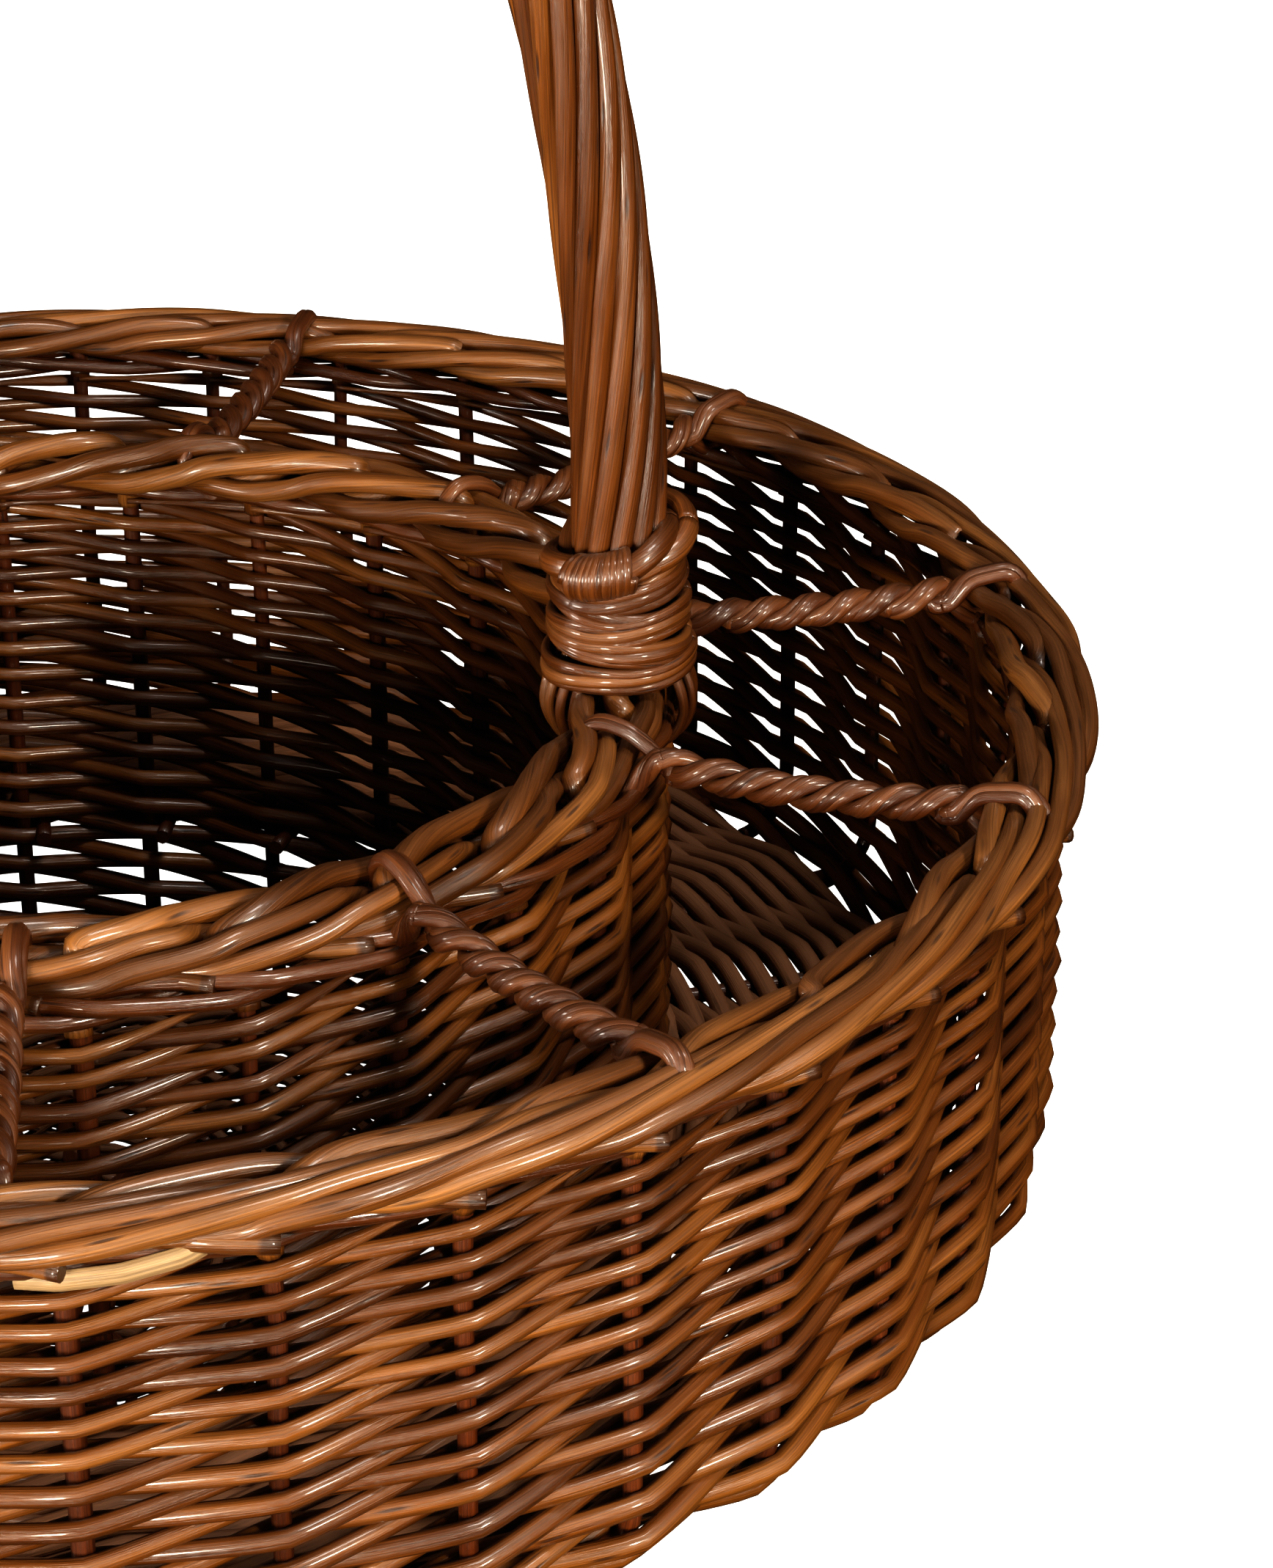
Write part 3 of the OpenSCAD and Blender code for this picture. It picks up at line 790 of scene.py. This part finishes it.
# ---------------------------------------------------------------------------
# Dividers: twelve ties, each of two split willow rods twisted together from
# rim to rim, with their ends wound round both rims.
# ---------------------------------------------------------------------------
divider_willow = willow_finish(
    "divider_willow",
    (0.0400, 0.0100, 0.0020),
    (0.0950, 0.0280, 0.0060),
    (0.1700, 0.0600, 0.0150),
    rough=0.36,
    coat=0.3,
    dust_and_shade_amount=0.14,
)
strand_r, tie_spread, tie_turns = 0.0028, 0.0025, 3.5
split_strips = [(-0.0011, 0.0), (0.0002, 0.0006), (0.0013, -0.0001)]  # aside and raised
for number in range(1, 13):
    tie_low, tie_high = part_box(f"divider_{number}")
    middle = (tie_low + tie_high) / 2
    heading = math.atan2(middle.y, middle.x)
    tie_dice = np.random.default_rng(80 + number)
    tie_slack, tie_sag = tie_dice.uniform(-0.03, 0.03), tie_dice.uniform(0.001, 0.004)
    across = np.array([-math.sin(heading), math.cos(heading), 0.0])
    outward = np.array([math.cos(heading), math.sin(heading), 0.0])
    strands = []
    for strand in range(2):
        side = -1.0 if strand else 1.0
        if strand:
            tucked = [(2.0, -10.0, -3.0), (8.0, -10.5, -2.6), (13.0, -6.0, -2.2)]
            ending = [(-13.0, -4.5, -2.2), (-8.5, -8.6, -2.8), (-1.0, -9.0, -3.4)]
        else:
            tucked = [
                (-4.0, -3.0, 3.4), (-3.0, 4.0, 3.2), (1.5, 8.6, 2.9), (8.0, 8.0, 2.5), (13.0, 5.4, 2.2)
            ]
            ending = [
                (-12.5, 5.2, 2.2), (-7.0, 7.0, 2.6), (-0.5, 7.6, 3.0), (3.5, 4.0, 3.4), (4.5, -2.0, 3.6)
            ]
        reached = np.linspace(0.0, 1.0, 56)[1:-1]
        uneven = tie_slack * np.sin(2 * np.pi * reached)
        phase = -2 * np.pi * tie_turns * (reached + uneven)
        rope_r = np.linspace(inner_rim_r + 0.017, outer_rim_r - 0.016, 56)[1:-1]
        droop = tie_sag * np.sin(np.pi * reached)
        tucked = np.array(tucked) * 0.001 + [inner_rim_r, rim_z, 0.0]
        same_side = [1, 1, np.cos(2 * np.pi * tie_turns)]
        ending = np.array(ending) * 0.001 * same_side + [outer_rim_r, rim_z, 0.0]
        roped = np.stack(
            [
                rope_r,
                rim_z + 0.0012 - droop + side * tie_spread * np.sin(phase),
                side * tie_spread * np.cos(phase),
            ],
            axis=-1,
        )
        run = eased(np.concatenate([tucked, roped, ending]), 4)
        line = outward * run[:, :1] + across * run[:, 2:] + UP * run[:, 1:2]
        middle_line = outward * run[:, :1] + UP * (rim_z - 0.002)
        out = line - middle_line + 0.0002 * UP
        beside = np.cross(np.gradient(line, axis=0), out)
        beside /= np.linalg.norm(beside, axis=1)[:, None]
        face_up = np.cross(beside, np.gradient(line, axis=0))
        face_up /= np.linalg.norm(face_up, axis=1)[:, None]
        for aside, raised in split_strips:
            wander = 0.0003 * np.sin(np.linspace(0.0, 9.0, len(line)) + tie_dice.uniform(0.0, 6.0))
            laid = line + beside * (aside + wander)[:, None] + face_up * raised
            strands.append(willow_rod(laid, out, strand_r * tie_dice.uniform(0.66, 0.76), tie_dice))
    lay_rods(f"tie_{number}", strands, divider_willow, [f"divider_{number}"], sides=10)

# ---------------------------------------------------------------------------
# Bow handle: eleven long willow rods laid side by side round a core and
# twisted slowly to the right, from one side of the inner rim to the other.
# ---------------------------------------------------------------------------
handle_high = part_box("handle_roping")[1]
handle_thick = handle_high.y
leg_x = handle_high.x - handle_thick
leg_top = rim_z + 0.050
side_bend, side_turn = 0.700, math.radians(18)
top_from_x = leg_x - side_bend + side_bend * math.cos(side_turn)
top_bend = top_from_x / math.cos(side_turn)
top_centre_z = leg_top + side_bend * math.sin(side_turn) - top_bend * math.sin(side_turn)
# the right half of the bow: its leg, its long side bend and half of its top, as x, z and lean
half_bow = [(leg_x, z, 0.0) for z in np.linspace(rim_z - 0.004, leg_top, 20, endpoint=False)]
for lean in np.linspace(0.0, side_turn, 60, endpoint=False):
    half_bow.append(
        (leg_x - side_bend + side_bend * math.cos(lean), leg_top + side_bend * math.sin(lean), lean)
    )
for lean in np.linspace(side_turn, math.pi / 2, 60):
    half_bow.append((top_bend * math.cos(lean), top_centre_z + top_bend * math.sin(lean), lean))
half_x, half_z, half_lean = np.array(half_bow).T
bow_x = np.concatenate([half_x, -half_x[-2::-1]])
bow_z = np.concatenate([half_z, half_z[-2::-1]])
bow_lean = np.concatenate([half_lean, math.pi - half_lean[-2::-1]])
bow_run = np.concatenate([[0.0], np.cumsum(np.hypot(np.diff(bow_x), np.diff(bow_z)))])
stations = np.linspace(0.0, bow_run[-1], 210)
flat = np.zeros_like(stations)
bow_line = np.stack(
    [np.interp(stations, bow_run, bow_x), flat, np.interp(stations, bow_run, bow_z)], axis=-1
)
lean = np.interp(stations, bow_run, bow_lean)
bow_out = np.stack([np.cos(lean), flat, np.sin(lean)], axis=-1)
bow_side = np.array([0.0, 1.0, 0.0])
handle_willow = willow_finish(
    "handle_willow",
    (0.0480, 0.0130, 0.0012),
    (0.1120, 0.0340, 0.0032),
    (0.2000, 0.0740, 0.0110),
    rough=0.34,
    coat=0.35,
    dust_and_shade_amount=0.06,
)
handle_dice = np.random.default_rng(91)
handle_rods = []
rod_count, core_count = 11, 3
handle_pitch = 0.400  # the run in which a rod goes once round the core
handle_rod_r, core_rod_r, core_ring = 0.0030, 0.0034, 0.0032
for rod in range(rod_count + core_count):
    in_core = rod >= rod_count
    ring = core_ring if in_core else handle_thick - handle_rod_r
    knots_at = np.linspace(0.0, stations[-1], 16)
    waver = np.interp(stations, knots_at, handle_dice.normal(0.0, 0.0 if in_core else 0.035, 16))
    swell = np.interp(stations, knots_at, handle_dice.normal(0.0, 0.00018, 16))
    first_angle = rod * 2 * np.pi / (core_count if in_core else rod_count)
    angle = first_angle + 2 * np.pi * stations / handle_pitch + waver
    out = np.cos(angle)[:, None] * bow_out + np.sin(angle)[:, None] * bow_side
    size = (core_rod_r if in_core else handle_rod_r) * (1 + handle_dice.normal(0.0, 0.05))
    handle_rods.append(willow_rod(bow_line + out * (ring + swell)[:, None], out, size, handle_dice))
lay_rods("handle_rods", handle_rods, handle_willow, ["handle_core", "handle_roping"], sides=14)

# ---------------------------------------------------------------------------
# Bindings at the handle's feet: split willow skein wound flat round each leg,
# under a thicker twisted turn, with strands looped down round the inner rim.
# ---------------------------------------------------------------------------
skein_willow = willow_finish(
    "skein_willow",
    (0.0480, 0.0130, 0.0018),
    (0.1150, 0.0360, 0.0055),
    (0.2000, 0.0760, 0.0150),
    rough=0.33,
    coat=0.35,
    dust_and_shade_amount=0.12,
)
# each band's height above the collar's foot, its radius, its strips and its tilt
collar_bands = [
    (0.0018, 0.0202, 3, 0.0014), (0.0084, 0.0195, 3, -0.0020), (0.0148, 0.0191, 3, 0.0024),
    (0.0212, 0.0185, 2, -0.0014), (0.0260, 0.0180, 3, 0.0032), (0.0318, 0.0174, 2, 0.0050),
]
strip_pitch = 0.0023
twist_r, twist_drop, twist_tilt = 0.0162, 0.0030, 0.0058
whip_turns, whip_grip = 11, 0.0058
# each lashing strand: its face of the rim, its way along the rim, and where it leaves the leg
lashing_strands = [
    (-1, -1, 8), (-1, -1, 26), (-1, -1, 43), (-1, -1, 58), (-1, 1, 12), (-1, 1, 30),
    (1, -1, 10), (1, -1, 30), (1, -1, 48), (1, 1, 12), (1, 1, 28), (1, 1, 46),
]
for side_name, side_way in (("right", 1.0), ("left", -1.0)):
    collar_low, collar_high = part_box(f"handle_collar_{side_name}")
    collar_dice = np.random.default_rng(95 if side_way > 0 else 96)
    centre = np.array([leg_x * side_way, 0.0, 0.0])
    wraps = []
    spin = np.linspace(0.0, 2 * np.pi, 65)
    for rise, girth, strips, tilt in collar_bands:
        swing = collar_dice.uniform(-0.9, 0.9)
        for strip in range(strips):
            lean_by = tilt + collar_dice.normal(0.0, 0.0005)
            ripple = collar_dice.uniform(0.0, 6.0)
            round_r = girth + 0.0005 * np.sin(2 * spin + ripple)
            tilted = lean_by * np.cos(spin - swing) * side_way
            level = collar_low.z + rise + strip_pitch * strip + tilted + 0.0005 * np.sin(3 * spin + ripple)
            coil = centre + np.stack([round_r * np.cos(spin) * 0.97, round_r * np.sin(spin), level], axis=-1)
            out = np.stack([np.cos(spin), np.sin(spin), np.full(65, 0.15 * (strip - 1))], axis=-1)
            strip_r = 0.0016 if strip == 1 else 0.0013
            wraps.append(willow_rod(coil, out, strip_r, collar_dice, wide=1.25))
    # the twisted turn on top: two fat strands that rise towards the outer side
    for strand in range(2):
        lay = 2 * spin + strand * np.pi
        girth = twist_r + 0.0024 * np.cos(lay)
        tilted = twist_tilt * np.cos(spin - 0.5) * side_way
        level = collar_high.z - twist_drop + tilted + 0.0024 * np.sin(lay)
        coil = centre + np.stack([girth * np.cos(spin), girth * np.sin(spin), level], axis=-1)
        out = np.stack([np.cos(spin), np.sin(spin), np.full(65, 0.4)], axis=-1)
        wraps.append(willow_rod(coil, out, 0.0030, collar_dice, wide=1.15))
    # fine skein whipped round that turn at the front
    whip = np.linspace(0.0, whip_turns * 2 * np.pi, whip_turns * 20 + 1)
    seat = -np.pi / 2 - 0.72 + 0.95 * whip / whip[-1]
    seat = seat if side_way > 0 else np.pi - seat
    girth = twist_r + whip_grip * np.cos(whip)
    tilted = twist_tilt * np.cos(seat - 0.5) * side_way
    level = collar_high.z - twist_drop + tilted + whip_grip * np.sin(whip)
    facing = [np.cos(whip) * np.cos(seat), np.cos(whip) * np.sin(seat), np.sin(whip)]
    wraps.append(
        {
            "line": centre + np.stack([girth * np.cos(seat), girth * np.sin(seat), level], axis=-1),
            "out": np.stack(facing, axis=-1),
            "thick": 0.0009,
            "wide": 1.5,
            "tone": 0.35,
            "offset": 4.0,
        }
    )
    lay_rods(f"collar_{side_name}", wraps, skein_willow, [f"handle_collar_{side_name}"], sides=12)
    loops = []
    hub = np.array([inner_rim_r * side_way, 0.0, rim_z])
    for face, way_in, degrees in lashing_strands:
        c, d = math.cos(math.radians(degrees)), math.sin(math.radians(degrees))
        ear = [
            (14.5 * c, 14.5 * d, 15.0), (17.6 * c, 17.6 * d, 9.5), (19.2 * c + 1.0, 17.0 * d + 1.0, 2.5),
            (17.6 * c + 2.4, 14.5 * d + 2.0, -4.0), (13.0 * c + 3.0, 12.0 * d + 3.0, -10.0),
            (6.0, 11.0 * d + 4.0, -13.0), (-2.0, 10.0 * d + 4.5, -13.6),
        ]
        run = eased(ear, 8) * [0.001 * way_in * side_way, 0.001 * face, 0.001]
        loops.append(willow_rod(hub + run, run * [1.0, 0.5, 1.0], 0.0014, collar_dice, wide=1.3))
    lay_rods(f"lashing_{side_name}", loops, skein_willow, [f"handle_lashing_{side_name}"], sides=10)
